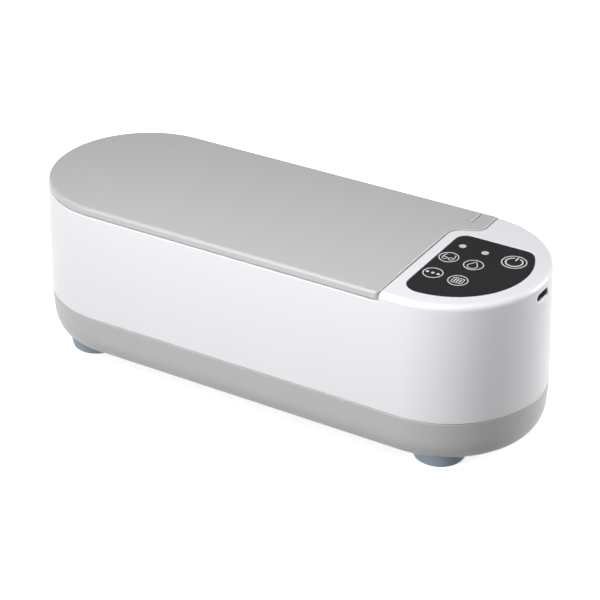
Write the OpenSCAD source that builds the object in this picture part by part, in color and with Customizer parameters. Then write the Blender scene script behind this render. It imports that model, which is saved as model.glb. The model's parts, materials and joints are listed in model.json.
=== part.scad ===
/* [Body] */
// Length of the body at the joint between base and housing
body_l = 205; // [165:0.5:260]
// Width of the body at the same joint
body_w = 74.6; // [60:0.1:92]
// Height of that joint above the floor
split_z = 20.7; // [20:0.1:26]
// Height of the housing from that joint to the rim that the lid meets
housing_h = 42.8; // [36:0.1:60]
// Rise of the control deck above the rim
deck_rise = 3.4; // [3.2:0.1:5]
// How far each side leans in between the joint and the rim
draft = 1.1; // [0:0.1:2]
// Wall of the housing and of the base
wall = 2.4; // [1.6:0.1:3.2]
// Radius of the top edge of the control deck
deck_edge_r = 2.2; // [0.6:0.1:2.6]
// Clearance between shells that plug into each other
shell_gap = 0.15; // [0.05:0.05:0.3]

/* [Base] */
// Height of the underside of the base above the floor
base_z = 4.6; // [3:0.1:7]
// Straight part of the base side below the joint
base_side_h = 7.2; // [4:0.1:8]
// How far the rounded lower edge of the base reaches in
base_round_x = 4.3; // [2:0.1:8]
// Height of the lip that plugs into the housing
lip_h = 3; // [1:0.1:4]

/* [Feet] */
// Radius of a foot where it meets the base
foot_top_r = 10.3; // [6:0.1:11]
// Radius of a foot near the floor
foot_low_r = 9.5; // [5:0.1:10.5]
// Radius of the rounded edge at the floor
foot_edge_r = 0.9; // [0.3:0.1:2]
// Depth of the pocket that holds a foot
foot_pocket = 1; // [0.5:0.1:1.6]
// Radius of the stem of a foot
foot_stem_r = 3; // [2:0.1:4]

/* [Lid] */
// Distance from the control end of the body to the lid edge
lid_back = 45.8; // [42:0.1:56]
// How much further the tab at the hinge side reaches
tab_reach = 10.1; // [10:0.1:13]
// Distance from the hinge side of the body to where the lid edge starts to turn
tab_w = 23.3; // [21.9:0.1:27]
// Gap between the lid edge and the deck
seam_gap = 0.4; // [0.3:0.05:0.6]
// Gap between the lid skirt and the rim
rim_gap = 0.35; // [0.3:0.05:0.6]
// Radius of the top edge of the lid
lid_edge_r = 1.2; // [0.4:0.1:1.5]
// Rise of the lid between its edge and its middle
lid_crown = 0.45; // [0:0.05:1]
// Thickness of the lid top at its edge
lid_t = 1.8; // [1.2:0.1:2]

/* [Hinge] */
// Diameter of a hinge pin
pin_d = 2; // [1.5:0.05:2.5]
// Radial clearance of a pin in the lid knuckle
pin_gap = 0.05; // [0.02:0.01:0.1]
// Wall of a knuckle round its pin
knuckle_wall = 0.75; // [0.5:0.05:0.9]
// Length of the lid knuckle
lid_knuckle_l = 10; // [6:0.1:14]
// Length of each housing knuckle
housing_knuckle_l = 7; // [4:0.1:9]
// Distance from each hinge to the end of the straight side
hinge_inset = 23.6; // [20:0.1:36]

/* [Tank] */
// Width of the flange round the tank opening
flange_w = 4.6; // [4.2:0.1:8]
// Clearance between that flange and the side walls
tank_gap = 0.4; // [0.2:0.1:2]
// Distance from the lid edge to the end of the tank
tank_end = 6.7; // [6:0.1:10]
// Sheet thickness of the tank
tank_t = 0.8; // [0.5:0.05:1.2]
// Radius between the floor and the sides of the tank
tank_round = 8; // [4:0.1:12]
// Height of the underside of the tank above the floor
tank_z = 26.4; // [26.4:0.1:32]
// Depth of the ledge below the rim
ledge_drop = 3.1; // [2.8:0.1:4]
// Thickness of the ledge
ledge_t = 3; // [2.5:0.1:4]
// Thickness of the tank gasket
gasket_t = 0.6; // [0.4:0.1:1]

/* [Controls] */
// Depth of the pocket for the black panel
panel_t = 1.2; // [0.8:0.1:1.6]
// Border between the panel and the outside of the deck
panel_border = 8.7; // [7:0.1:11]
// How far the panel's round end lies beyond that of the body
panel_forward = 1.2; // [0:0.1:2]
// Corner radius of the panel
panel_corner_r = 4.3; // [3:0.1:6]
// Radius of its corner at the front by the lid
panel_low_r = 6.5; // [4:0.1:7]
// Distance from the lid edge to the panel
panel_back = 4; // [3:0.1:5]
// Diameter of the four small key rings
key_d = 7.3; // [6:0.1:8.6]
// Diameter of the power key ring
power_d = 9.2; // [8:0.1:11]
// Diameter of the light pipes
light_d = 2.7; // [2:0.1:4]
// Width of the charging slot
slot_w = 9.2; // [9.2:0.1:11]
// Height of the charging slot
slot_h = 3.4; // [3.4:0.1:4.5]

/* [Battery and sound unit] */
// Diameter of the battery cell
cell_d = 18.4; // [14:0.1:18.4]
// Length of the battery cell
cell_l = 65; // [50:0.5:66]
// Diameter of the piezo disc
piezo_d = 35; // [25:0.5:38]
// Thickness of the piezo disc
piezo_t = 3; // [1:0.1:4]

/* [Main board] */
// Length of the main board along the body
main_board_l = 29; // [28.4:0.1:31]
// Width of the main board across the body
main_board_w = 44; // [43:0.1:45]

/* [Hidden] */
$fn = 96;

half_w = body_w / 2;
end_x = body_l / 2 - half_w;
rim_z = split_z + housing_h;
deck_z = rim_z + deck_rise;
deck_t = 2.4;
ledge_z = rim_z - ledge_drop;
floor_z = base_z + wall;
far = body_l;

seam_x = body_l / 2 - lid_back;
tab_x = seam_x + tab_reach;
tab_turn_y = half_w - tab_w;
seam_turn_r = 6.2;
tab_corner_r = 4.3;
seam_turn_a = 67;

panel_r = half_w - panel_border;
panel_x = seam_x + panel_back;
panel_y = half_w - 20;
panel_z = deck_z - 0.15;

hinge_x = end_x - hinge_inset;
hinge_y = half_w - 1.8;
hinge_z = rim_z + 0.6;
pin_r = pin_d / 2;
knuckle_r = pin_r + knuckle_wall;
knuckle_gap = 0.2;
knuckle_room = 0.35;

tank_r = half_w - draft - wall - flange_w - tank_gap;
tank_x0 = -end_x;
tank_x1 = seam_x - tank_end - tank_r;
tank_mid_x = (tank_x0 + tank_x1) / 2;
tank_lean = 1;
flange_z = ledge_z - ledge_t - gasket_t - tank_t;

coupling_d = piezo_d + 3;
coupling_t = 3;
coupling_z = tank_z - coupling_t;
piezo_z = coupling_z - piezo_t;

board_t = 1.6;
touch_board_z = deck_z - 6.8 - board_t;
touch_top_z = touch_board_z + board_t;
main_board_z = 30;
main_top_z = main_board_z + board_t;
main_board_x = [body_l / 2 - 43, body_l / 2 - 43 + main_board_l];
main_board_y = main_board_w / 2;

cell_z = floor_z + 0.4 + cell_d / 2;
cell_x0 = tank_mid_x + coupling_d / 2 + 3.8;

screw_y = half_w - 8.4;
screw_x = [-end_x + 6, (seam_x - end_x) / 2, end_x - 2];
screw_seat_z = 10;
post_z = 17;
foot_x = end_x + 9.7;
foot_y = half_w - 15.4;

boss_h = 8.4;
seam_wall = 2;
tank_screw_r = tank_r + 2.8;
pin_l = lid_knuckle_l + 2 * knuckle_gap + 2 * housing_knuckle_l;
led_h = 1.1;

key_x = [panel_x + 4.5, panel_x + 14.5];
glasses_at = [key_x[0], -0.9];
drop_at = [key_x[1], -1.6];
dots_at = [key_x[0] + 0.5, -13.7];
strap_at = [key_x[1] + 0.4, -14.2];
power_a = 19.3;
power_at = [end_x, 0] + (panel_r - power_d / 2 - 1.5) * [cos(power_a), sin(power_a)];
light_at = [[key_x[0] + 0.4, 8.9], [key_x[1] - 0.5, 8.4]];
connector_at = [[3.2, -12], [3.2, -4.5], [15, 14.5]];
connector_h = 4.5;
ribbon_x = main_board_x[0] + connector_at[2][0];
touch_boss_at = [[panel_r - 5.2, -88], [panel_r - 5.2, -35], [panel_r - 7.7, 40]];

// ---------- shared shapes ----------

function arc(c, r, a0, a1, n = 12) =
    [for (i = [0 : n]) let (a = a0 + (a1 - a0) * i / n) [c[0] + r * cos(a), c[1] + r * sin(a)]];

// Half width of the leaning side at height z.
function side_at(z) = half_w - draft * (z - split_z) / housing_h;

// Sweeps a half section, drawn as distance from the centreline and height, round a
// stadium whose end centres lie at x0 and x1.
module track(x0 = -end_x, x1 = end_x) {
    for (end = [[x0, 90], [x1, -90]])
        translate([end[0], 0, 0]) rotate([0, 0, end[1]]) rotate_extrude(angle = 180) children();
    translate([x0, 0, 0]) rotate([90, 0, 90]) linear_extrude(x1 - x0) {
        children();
        mirror([1, 0]) children();
    }
}

// A flat stadium plate or ring between two half widths.
module track_plate(r0, r1, z0, z1, x0 = -end_x, x1 = end_x)
    track(x0, x1) translate([r0, z0]) square([r1 - r0, z1 - z0]);

// The line where the lid meets the deck, moved towards the lid by off.
turn_c = [seam_x + seam_turn_r, tab_turn_y];
turn_a = 180 - seam_turn_a;
slope_l = (tab_x - tab_corner_r - turn_c[0] - (seam_turn_r + tab_corner_r) * cos(turn_a))
          / sin(turn_a);
corner_c = turn_c + (seam_turn_r + tab_corner_r) * [cos(turn_a), sin(turn_a)]
           + slope_l * [sin(turn_a), -cos(turn_a)];
function seam_line(off) = concat(
    [[seam_x - off, -far]],
    arc(turn_c, seam_turn_r + off, 180, turn_a),
    arc(corner_c, tab_corner_r - off, turn_a - 180, 0),
    [[tab_x - off, far]]);

module lid_side(off, z0, z1)
    translate([0, 0, z0]) linear_extrude(z1 - z0)
        polygon(concat(seam_line(off), [[-far, far], [-far, -far]]));

module deck_side(off, z0, z1)
    translate([0, 0, z0]) linear_extrude(z1 - z0)
        polygon(concat(seam_line(off), [[far, far], [far, -far]]));

// The band between two offsets of that line.
module seam_band(off0, off1, z0, z1)
    difference() {
        lid_side(off0, z0, z1);
        lid_side(off1, z0 - 1, z1 + 1);
    }

// Outline of the black panel, moved inwards by g: an arc round the end of the body, a
// straight edge by the lid and one on the hinge side, with round corners.
panel_c = [end_x + panel_forward, 0];
panel_low_a = -acos((panel_x + panel_low_r - panel_c[0]) / (panel_r - panel_low_r));
panel_high_a = asin((panel_y - panel_corner_r) / (panel_r - panel_corner_r));
function on_panel_arc(a, corner_r) = panel_c + (panel_r - corner_r) * [cos(a), sin(a)];
function panel_outline(g) = concat(
    arc(panel_c, panel_r - g, panel_low_a, panel_high_a, 30),
    arc(on_panel_arc(panel_high_a, panel_corner_r), panel_corner_r - g, panel_high_a, 90),
    arc([panel_x + panel_corner_r, panel_y - panel_corner_r], panel_corner_r - g, 90, 180),
    arc(on_panel_arc(panel_low_a, panel_low_r), panel_low_r - g, 180, 360 + panel_low_a));

module panel_plate(g, z0, z1)
    translate([0, 0, z0]) linear_extrude(z1 - z0) polygon(panel_outline(g));

// A cylinder along X.
module rod_x(r, l, at, fn = 48)
    translate(at) rotate([0, 90, 0]) cylinder(h = l, r = r, $fn = fn, center = true);

// A pan head screw whose head sits below z and whose shank points up.
module screw(r, l, head_r, head_h) {
    translate([0, 0, -head_h]) cylinder(h = head_h, r = head_r, $fn = 32);
    cylinder(h = l, r = r, $fn = 24);
}

module box(low, high)
    translate(low) cube(high - low);

// A slot shape along X, as wide as w and as high as h, on the centreline.
module slot_bar(w, h, x0, x1, z) {
    for (side = [-1, 1])
        translate([x0, side * (w - h) / 2, z]) rotate([0, 90, 0]) cylinder(h = x1 - x0, r = h / 2, $fn = 32);
    box([x0, -(w - h) / 2, z - h / 2], [x1, (w - h) / 2, z + h / 2]);
}

// Smooth route through chosen points, as a Catmull-Rom curve with n steps a span.
function route(p, n) = concat(
    [for (i = [0 : len(p) - 2], j = [0 : n - 1])
        let (a = p[max(i - 1, 0)], b = p[i], c = p[i + 1], d = p[min(i + 2, len(p) - 1)], t = j / n)
        0.5 * (2 * b + (c - a) * t + (2 * a - 5 * b + 4 * c - d) * t * t
               + (3 * b - a - 3 * c + d) * t * t * t)],
    [p[len(p) - 1]]);

// Round tube swept along a list of points; up is any direction the path never takes.
module tube(p, r, sides, up) {
    last = len(p) - 1;
    function unit(v) = v / norm(v);
    rings = [for (i = [0 : last])
        let (t = unit(p[min(i + 1, last)] - p[max(i - 1, 0)]), s = unit(cross(t, up)), u = cross(s, t))
        for (k = [0 : sides - 1]) p[i] + r * (cos(360 * k / sides) * s + sin(360 * k / sides) * u)];
    walls = [for (i = [0 : last - 1], k = [0 : sides - 1])
        let (a = i * sides + k, b = i * sides + (k + 1) % sides) [a, b, b + sides, a + sides]];
    caps = [[for (k = [sides - 1 : -1 : 0]) k], [for (k = [0 : sides - 1]) last * sides + k]];
    polyhedron(rings, concat(walls, caps));
}

// ---------- base and feet ----------

base_straight = [[half_w, split_z], [half_w - 0.35, split_z - base_side_h]];
base_round_z = split_z - base_side_h - base_z;

// Outer line of the base from the joint down to the underside, inset by g.
function base_line(g) = concat(
    [base_straight[0] - [g, 0]],
    [for (i = [0 : 10]) let (a = -90 * i / 10)
        [base_straight[1][0] - base_round_x + (base_round_x - g / 2) * cos(a) - g / 2,
         base_straight[1][1] + (base_round_z - g) * sin(a)]]);

module foot_places()
    for (x = [-foot_x, foot_x], y = [-foot_y, foot_y]) translate([x, y, 0]) children();

module screw_places()
    for (x = screw_x, y = [-screw_y, screw_y]) translate([x, y, 0]) children();

module board_post_places()
    for (x = [main_board_x[0] + 3.5, main_board_x[1] - 3.5], y = [-1, 1])
        translate([x, y * (main_board_y - 4), 0]) children();

module base_shell() color([0.73, 0.73, 0.72])
    difference() {
        union() {
            track() polygon(concat(base_line(0), [[0, base_z], [0, floor_z]],
                                   [for (i = [11 : -1 : 0]) base_line(wall)[i]]));
            // lip that plugs into the housing
            track_plate(half_w - wall - shell_gap - 1.2, half_w - wall - shell_gap,
                        split_z - 3, split_z + lip_h);
            // rim that carries the lip
            track_plate(half_w - wall - shell_gap - 1.2, half_w - wall + 0.6,
                        split_z - 3, split_z - 1);
            screw_places() translate([0, 0, base_z + 1]) cylinder(h = post_z - base_z - 1, r = 4.4);
            board_post_places() translate([0, 0, base_z + 1])
                cylinder(h = main_board_z - base_z - 1, r = 3);
            foot_places() translate([0, 0, base_z + foot_pocket])
                cylinder(h = 5, r = foot_stem_r + 1.6);
        }
        screw_places() {
            translate([0, 0, base_z - 1]) cylinder(h = screw_seat_z - base_z + 1, r = 3.1);
            translate([0, 0, base_z]) cylinder(h = post_z, r = 1.65, $fn = 32);
        }
        foot_places() {
            translate([0, 0, base_z - 1]) cylinder(h = 1 + foot_pocket, r = foot_top_r + shell_gap);
            translate([0, 0, base_z - 1]) cylinder(h = foot_pocket + 4.6, r = foot_stem_r);
        }
        board_post_places() translate([0, 0, main_board_z - 8]) cylinder(h = 9, r = 1, $fn = 32);
    }

module base_screws() color([0.62, 0.63, 0.65])
    screw_places() translate([0, 0, screw_seat_z]) difference() {
        screw(1.45, 12, 2.75, 2);
        for (a = [0, 90]) rotate([0, 0, a]) translate([0, 0, -1.6]) cube([3, 0.7, 1.2], center = true);
    }

// A foot: a tapered silicone pad with a rounded floor edge and a stem.
module foot(x, y) color([0.6, 0.66, 0.73])
    translate([x, y, 0]) rotate_extrude() polygon(concat(
        [[0, 0]],
        arc([foot_low_r - foot_edge_r, foot_edge_r], foot_edge_r, -90, 0, 8),
        [[foot_top_r, base_z + foot_pocket], [foot_stem_r, base_z + foot_pocket],
         [foot_stem_r, base_z + foot_pocket + 3.4], [0, base_z + foot_pocket + 3.4]]));

// ---------- housing ----------

// Middle of each housing knuckle along X.
housing_knuckle_x = [for (side = [-1, 1], end = [-1, 1])
    side * hinge_x + end * (lid_knuckle_l / 2 + knuckle_gap + housing_knuckle_l / 2)];

module housing_knuckles(r, l)
    for (x = housing_knuckle_x) rod_x(r, l, [x, hinge_y, hinge_z]);

module lid_knuckles(r, l)
    for (side = [-1, 1]) rod_x(r, l, [side * hinge_x, hinge_y, hinge_z]);

// Webs that join the housing knuckles to the rim.
module knuckle_webs()
    for (x = housing_knuckle_x)
        box([x - housing_knuckle_l / 2, side_at(rim_z) - wall + 0.2, rim_z - 1.5],
            [x + housing_knuckle_l / 2, side_at(rim_z) - 0.1, hinge_z]);

module touch_boss_places()
    for (p = touch_boss_at) translate([end_x + p[0] * cos(p[1]), p[0] * sin(p[1]), 0]) children();

// Points round the tank flange, on its screw line.
module tank_screw_places() {
    for (x = [tank_x0, tank_mid_x, tank_x1], y = [-1, 1])
        translate([x, y * tank_screw_r, 0]) children();
    for (x = [tank_x0 - tank_screw_r, tank_x1 + tank_screw_r]) translate([x, 0, 0]) children();
}

// Bosses over the base posts, each with a rib to the side wall.
module housing_bosses()
    for (x = screw_x, y = [-1, 1]) {
        translate([x, y * screw_y, post_z]) cylinder(h = boss_h, r = 3.2);
        box([x - 1.5, y > 0 ? screw_y : -half_w + wall / 2 + draft, split_z + lip_h + 0.2],
            [x + 1.5, y > 0 ? half_w - wall / 2 - draft : -screw_y, post_z + boss_h]);
    }

function wall_line(z) = [side_at(z), z];

module housing() color([0.93, 0.93, 0.95])
    difference() {
        union() {
            // side wall up to the rim
            track() polygon([wall_line(split_z), wall_line(rim_z), wall_line(rim_z) - [wall, 0],
                             wall_line(split_z) - [wall, 0]]);
            // roof of the control end
            intersection() {
                track() polygon(concat(
                    [wall_line(rim_z)],
                    arc([side_at(deck_z) - deck_edge_r, deck_z - deck_edge_r], deck_edge_r, 0, 90, 8),
                    [[0, deck_z], [0, deck_z - deck_t], wall_line(deck_z - deck_t) - [wall, 0],
                     wall_line(rim_z) - [wall, 0]]));
                deck_side(0, rim_z - 1, deck_z + 1);
            }
            // wall under the lid edge
            intersection() {
                track_plate(0, side_at(rim_z) - wall / 2, ledge_z - ledge_t, deck_z - deck_t / 2);
                seam_band(-seam_wall, 0, ledge_z - ledge_t - 1, deck_z);
            }
            // ledge round the tank
            intersection() {
                track_plate(0, side_at(ledge_z) - wall / 2, ledge_z - ledge_t, ledge_z);
                lid_side(-seam_wall / 2, ledge_z - ledge_t - 1, ledge_z + 1);
            }
            housing_bosses();
            touch_boss_places() translate([0, 0, touch_top_z])
                cylinder(h = deck_z - deck_t / 2 - touch_top_z, r = 2.6, $fn = 32);
            housing_knuckles(knuckle_r, housing_knuckle_l);
            knuckle_webs();
        }
        track_plate(0, tank_r, ledge_z - ledge_t - 1, ledge_z + 1, tank_x0, tank_x1);
        panel_plate(0, deck_z - panel_t, deck_z + 1);
        for (p = light_at) translate([p[0], p[1], deck_z - deck_t - 1])
            cylinder(h = deck_t + 2, r = light_d / 2 + 0.1, $fn = 48);
        slot_bar(slot_w, slot_h, body_l / 2 - draft - wall - 2, body_l / 2 + 1, usb_z);
        lid_knuckles(knuckle_r + knuckle_room, lid_knuckle_l + 2 * knuckle_gap);
        for (side = [-1, 1]) rod_x(pin_r - 0.02, pin_l + 0.4, [side * hinge_x, hinge_y, hinge_z]);
        screw_places() translate([0, 0, post_z - 1]) cylinder(h = boss_h, r = 1.25, $fn = 32);
        touch_boss_places() translate([0, 0, touch_top_z - 1]) cylinder(h = 4.6, r = 0.8, $fn = 32);
        tank_screw_places() translate([0, 0, ledge_z - ledge_t - 1]) cylinder(h = 3.4, r = 0.8, $fn = 32);
    }

// ---------- tank and sound unit ----------

// Outer line of the tank from its middle to the flange, moved inwards by g.
tank_low_r = tank_r + tank_t - tank_lean;
function tank_line(g) = concat(
    [[0, tank_z + g]],
    arc([tank_low_r - tank_round, tank_z + tank_round], tank_round - g, -90, 0, 8),
    [[tank_r + tank_t - g, flange_z + (g > 0 ? tank_t : 0)]]);

module tank() color([0.78, 0.79, 0.8])
    difference() {
        track(tank_x0, tank_x1) polygon(concat(
            tank_line(0), [[tank_r + flange_w, flange_z], [tank_r + flange_w, flange_z + tank_t]],
            [for (i = [len(tank_line(tank_t)) - 1 : -1 : 0]) tank_line(tank_t)[i]]));
        tank_screw_places() translate([0, 0, flange_z - 1]) cylinder(h = 3, r = 1.15, $fn = 32);
    }

module tank_gasket() color([0.35, 0.37, 0.4])
    difference() {
        track_plate(tank_r + 0.6, tank_r + flange_w, flange_z + tank_t, ledge_z - ledge_t,
                    tank_x0, tank_x1);
        tank_screw_places() translate([0, 0, flange_z]) cylinder(h = 3, r = 1.15, $fn = 32);
    }

module tank_screws() color([0.62, 0.63, 0.65])
    tank_screw_places() translate([0, 0, flange_z]) screw(0.95, 3.4, 1.7, 1.2);

module coupling_disc() color([0.7, 0.71, 0.73])
    translate([tank_mid_x, 0, coupling_z]) difference() {
        cylinder(h = coupling_t, r = coupling_d / 2);
        translate([0, 0, -1]) cylinder(h = 1.6, r = piezo_d / 2 + 0.1);
    }

module piezo_disc() color([0.85, 0.82, 0.72])
    translate([tank_mid_x, 0, piezo_z + 0.6]) cylinder(h = piezo_t, r = piezo_d / 2);

// ---------- battery ----------

module battery_cradle() color([0.15, 0.15, 0.16])
    difference() {
        box([cell_x0 - 2.4, -cell_d / 2 - 2, floor_z], [cell_x0 + cell_l + 2.4, cell_d / 2 + 2, cell_z]);
        rod_x(cell_d / 2 + 0.2, cell_l + 1.2, [cell_x0 + cell_l / 2, 0, cell_z]);
    }

module battery_cell() color([0.2, 0.45, 0.75])
    difference() {
        rod_x(cell_d / 2, cell_l, [cell_x0 + cell_l / 2, 0, cell_z], 64);
        // groove rolled into the can
        translate([cell_x0 + cell_l - 4, 0, cell_z]) rotate([0, 90, 0]) difference() {
            cylinder(h = 1.2, r = cell_d / 2 + 1);
            translate([0, 0, -1]) cylinder(h = 4, r = cell_d / 2 - 0.5);
        }
    }

module battery_contacts() color([0.8, 0.78, 0.7])
    for (x = [cell_x0 - 0.5, cell_x0 + cell_l])
        box([x, -3, cell_z - 4], [x + 0.5, 3, cell_z + 4]);

// ---------- main board ----------

module main_board() color([0.1, 0.35, 0.2])
    difference() {
        box([main_board_x[0], -main_board_y, main_board_z], [main_board_x[1], main_board_y, main_top_z]);
        board_post_places() translate([0, 0, main_board_z - 1]) cylinder(h = 4, r = 1.2, $fn = 32);
    }

module main_board_chips() color([0.12, 0.12, 0.13])
    for (c = [[12, -6, 5, 4], [20, -9, 4, 5], [12.5, -13, 4, 4]])
        translate([main_board_x[0] + c[0], c[1], main_top_z + 0.75]) cube([c[2], c[3], 1.5], center = true);

module transformer_core() color([0.25, 0.25, 0.27])
    translate([main_board_x[0] + 8, 4.8, main_top_z]) difference() {
        box([-7, -6.5, 0], [7, 6.5, 12]);
        box([-4.5, -7, 2.5], [-2, 7, 9.5]);
        box([2, -7, 2.5], [4.5, 7, 9.5]);
    }

module transformer_winding() color([0.85, 0.7, 0.2])
    translate([main_board_x[0] + 8, 4.8, main_top_z + 2.7]) difference() {
        box([-4.3, -6.3, 0], [4.3, 6.3, 6.6]);
        box([-2, -7, -0.2], [2, 7, 6.8]);
    }

module capacitors() color([0.15, 0.2, 0.35])
    for (p = [[21, 12.5], [21, 4]])
        translate([main_board_x[0] + p[0], p[1], main_top_z]) cylinder(h = 11, r = 3.2);

module power_transistor() color([0.14, 0.14, 0.15]) {
    x = main_board_x[1] - 3.6;
    box([x, -15.2, main_top_z + 3], [x + 1.6, -6.8, main_top_z + 11]);
    for (y = [-13.5, -11, -8.5]) box([x + 0.5, y - 0.35, main_top_z], [x + 1.1, y + 0.35, main_top_z + 3]);
}

module heat_sink() color([0.75, 0.76, 0.78]) {
    x = main_board_x[1] - 2;
    box([x, -16.5, main_top_z], [x + 1.2, -5.5, main_top_z + 14]);
    for (y = [-16.5, -13, -9.5, -6.5]) box([x + 1.2, y, main_top_z], [x + 2.6, y + 1, main_top_z + 14]);
}

// Sockets for the sound unit, the battery and the flat cable.
module board_connectors() color([0.9, 0.88, 0.82])
    for (c = connector_at) translate([main_board_x[0] + c[0], c[1], main_top_z]) difference() {
        box([-2.2, -2.6, 0], [2.2, 2.6, connector_h]);
        box([-1.4, -1.9, 1.5], [1.4, 1.9, 5]);
    }

module main_board_screws() color([0.62, 0.63, 0.65])
    board_post_places() translate([0, 0, main_top_z]) mirror([0, 0, 1]) screw(1.1, 6, 2, 1.5);

// ---------- touch board and charging socket ----------

usb_w = 8.9;
usb_h = 3.2;
usb_z = touch_top_z + usb_h / 2;
usb_x1 = end_x + side_at(usb_z) - 0.4;
usb_x0 = usb_x1 - 7.4;
board_arm_x = end_x + side_at(touch_top_z) - wall - 1.2;

module touch_board() color([0.1, 0.3, 0.18])
    difference() {
        union() {
            panel_plate(1, touch_board_z, touch_top_z);
            box([end_x + panel_r - 11, -6.5, touch_board_z], [board_arm_x, 6.5, touch_top_z]);
            // tab over the flat cable
            box([ribbon_x - 4, 0, touch_board_z], [ribbon_x + 4, connector_at[2][1] + 1.4, touch_top_z]);
        }
        touch_boss_places() translate([0, 0, touch_board_z - 1]) cylinder(h = 4, r = 1.1, $fn = 32);
    }

module touch_controller() color([0.12, 0.12, 0.13]) {
    translate([end_x + 4, -8, touch_board_z - 0.8]) cube([9, 9, 1.6], center = true);
    translate([end_x + 14, -4, touch_board_z - 0.6]) cube([4, 5, 1.2], center = true);
}

// Coil springs that carry each key's touch from the board to the deck.
module touch_springs() color([0.82, 0.8, 0.72]) {
    spring_h = deck_z - deck_t - touch_top_z;
    turns = 3.5;
    steps = 12;
    for (p = [glasses_at, drop_at, dots_at, strap_at, power_at])
        translate([p[0], p[1], touch_top_z])
            tube([for (i = [0 : turns * steps]) let (a = 360 * i / steps)
                      [2.4 * cos(a), 2.4 * sin(a), 0.3 + (spring_h - 0.6) * i / (turns * steps)]],
                 0.25, 6, [0, 0, 1]);
}

module status_leds() color([0.95, 0.95, 0.85])
    for (p = light_at) translate([p[0], p[1], touch_top_z + led_h / 2])
        cube([3, 2.6, led_h], center = true);

module light_pipe(p) color([0.92, 0.94, 0.95]) {
    translate([p[0], p[1], touch_top_z + led_h + 0.1])
        cylinder(h = panel_z - touch_top_z - led_h - 0.1, r = light_d / 2, $fn = 48);
    translate([p[0], p[1], deck_z - deck_t - 0.8]) cylinder(h = 0.8, r = light_d / 2 + 0.8, $fn = 48);
}

module touch_board_screws() color([0.62, 0.63, 0.65])
    touch_boss_places() translate([0, 0, touch_board_z]) screw(1, 5, 1.9, 1.3);

// Flat cable from the touch board down to the main board.
module ribbon_cable() color([0.85, 0.86, 0.88]) {
    low_z = main_top_z + connector_h;
    line = [for (i = [0 : 16]) [ribbon_x + 3 * sin(180 * i / 16), low_z + (touch_board_z - low_z) * i / 16]];
    translate([0, connector_at[2][1] + 3, 0]) rotate([90, 0, 0]) linear_extrude(6)
        polygon(concat([for (p = line) p - [0.4, 0]], [for (i = [16 : -1 : 0]) line[i] + [0.4, 0]]));
}

module usb_socket() color([0.75, 0.76, 0.78])
    difference() {
        slot_bar(usb_w, usb_h, usb_x0, usb_x1, usb_z);
        slot_bar(usb_w - 0.6, usb_h - 0.6, usb_x0 + 1, usb_x1 + 1, usb_z);
    }

module usb_tongue() color([0.12, 0.12, 0.13])
    box([usb_x0 + 1, -3.3, usb_z - 0.35], [usb_x1 - 1.2, 3.3, usb_z + 0.35]);

// ---------- wires ----------

// One wire laid along chosen points.
module lead(points, r = 0.6)
    tube(route(points, 4), r, 8, [0.1, 0, 1]);

// The last stretch of a wire: past the edge of the main board, up and into a socket.
function into_socket(i, dy) = let (c = [main_board_x[0], connector_at[i][1] + dy, main_top_z]) [
    c + [-3.4, 0, 1.5], c + [-3, 0, 4.5], c + [-1, 0, 7.2], c + [2, 0, 7], c + [3.2, 0, 3]];

lead_z = floor_z + 3;
lead_y = cell_d / 2 + 4.4;

module piezo_leads() color([0.75, 0.15, 0.12])
    for (dy = [-0.9, 0.9])
        lead(concat([[tank_mid_x + 8, dy - 4, piezo_z], [tank_mid_x + 12, dy - 8, piezo_z - 2.2],
                     [cell_x0 - 2, dy - lead_y, floor_z + 6], [cell_x0 + 8, dy - lead_y, lead_z],
                     [cell_x0 + cell_l / 2, dy - lead_y, lead_z],
                     [main_board_x[0] - 8, dy - lead_y, floor_z + 8]],
                    into_socket(0, dy)));

module battery_leads() color([0.1, 0.1, 0.1]) {
    lead(concat([[cell_x0 - 1.1, 3, cell_z + 2.4], [cell_x0 - 2.2, 6, cell_z + 2.4],
                 [cell_x0 - 1.8, lead_y - 1.2, cell_z + 0.8], [cell_x0 + 6, lead_y, lead_z],
                 [cell_x0 + cell_l / 2, lead_y, lead_z], [main_board_x[0] - 8, lead_y - 1, floor_z + 10],
                 [main_board_x[0] - 8, lead_y - 6, main_board_z - 4], [main_board_x[0] - 6, -2, main_board_z]],
                into_socket(1, -0.9)));
    lead(concat([[cell_x0 + cell_l + 1.1, 3, cell_z + 3], [cell_x0 + cell_l + 1.4, 9, cell_z + 5],
                 [main_board_x[0] - 3.6, cell_d / 2 + 2.6, cell_z + 6.6],
                 [main_board_x[0] - 3.8, 2, main_board_z - 1]],
                into_socket(1, 0.9)));
}

// ---------- control panel ----------

module control_panel() color([0.19, 0.19, 0.2])
    difference() {
        panel_plate(0.12, deck_z - panel_t, panel_z);
        for (p = light_at) translate([p[0], p[1], deck_z - panel_t - 1])
            cylinder(h = panel_t + 2, r = light_d / 2, $fn = 48);
    }

module ring(d, w)
    difference() {
        circle(d = d);
        circle(d = d - 2 * w);
    }

// A straight bar of width w between two points, with round ends.
module bar(a, b, w) {
    v = b - a;
    translate(a) rotate(atan2(v[1], v[0])) translate([0, -w / 2]) square([norm(v), w]);
    for (p = [a, b]) translate(p) circle(d = w, $fn = 16);
}

module glasses_icon() {
    for (side = [-1, 1]) {
        translate([side * 1.25, -0.9]) ring(2, 0.3);
        bar([side * 2.2, -0.6], [side * 1.9, 1.7], 0.3);
        bar([side * 1.9, 1.7], [side * 1.3, 1.9], 0.3);
    }
    bar([-0.3, -0.8], [0.3, -0.8], 0.3);
}

module drop_shape(r)
    union() {
        circle(r = r);
        polygon([[-r * 0.87, r * 0.5], [r * 0.87, r * 0.5], [0, r * 1.95]]);
    }

module drop_icon()
    translate([0, -0.8]) difference() {
        drop_shape(1.9);
        drop_shape(1.55);
    }

module dots_icon()
    for (x = [-2.1, 0, 2.1]) translate([x, 0]) circle(d = 1.2, $fn = 32);

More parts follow.
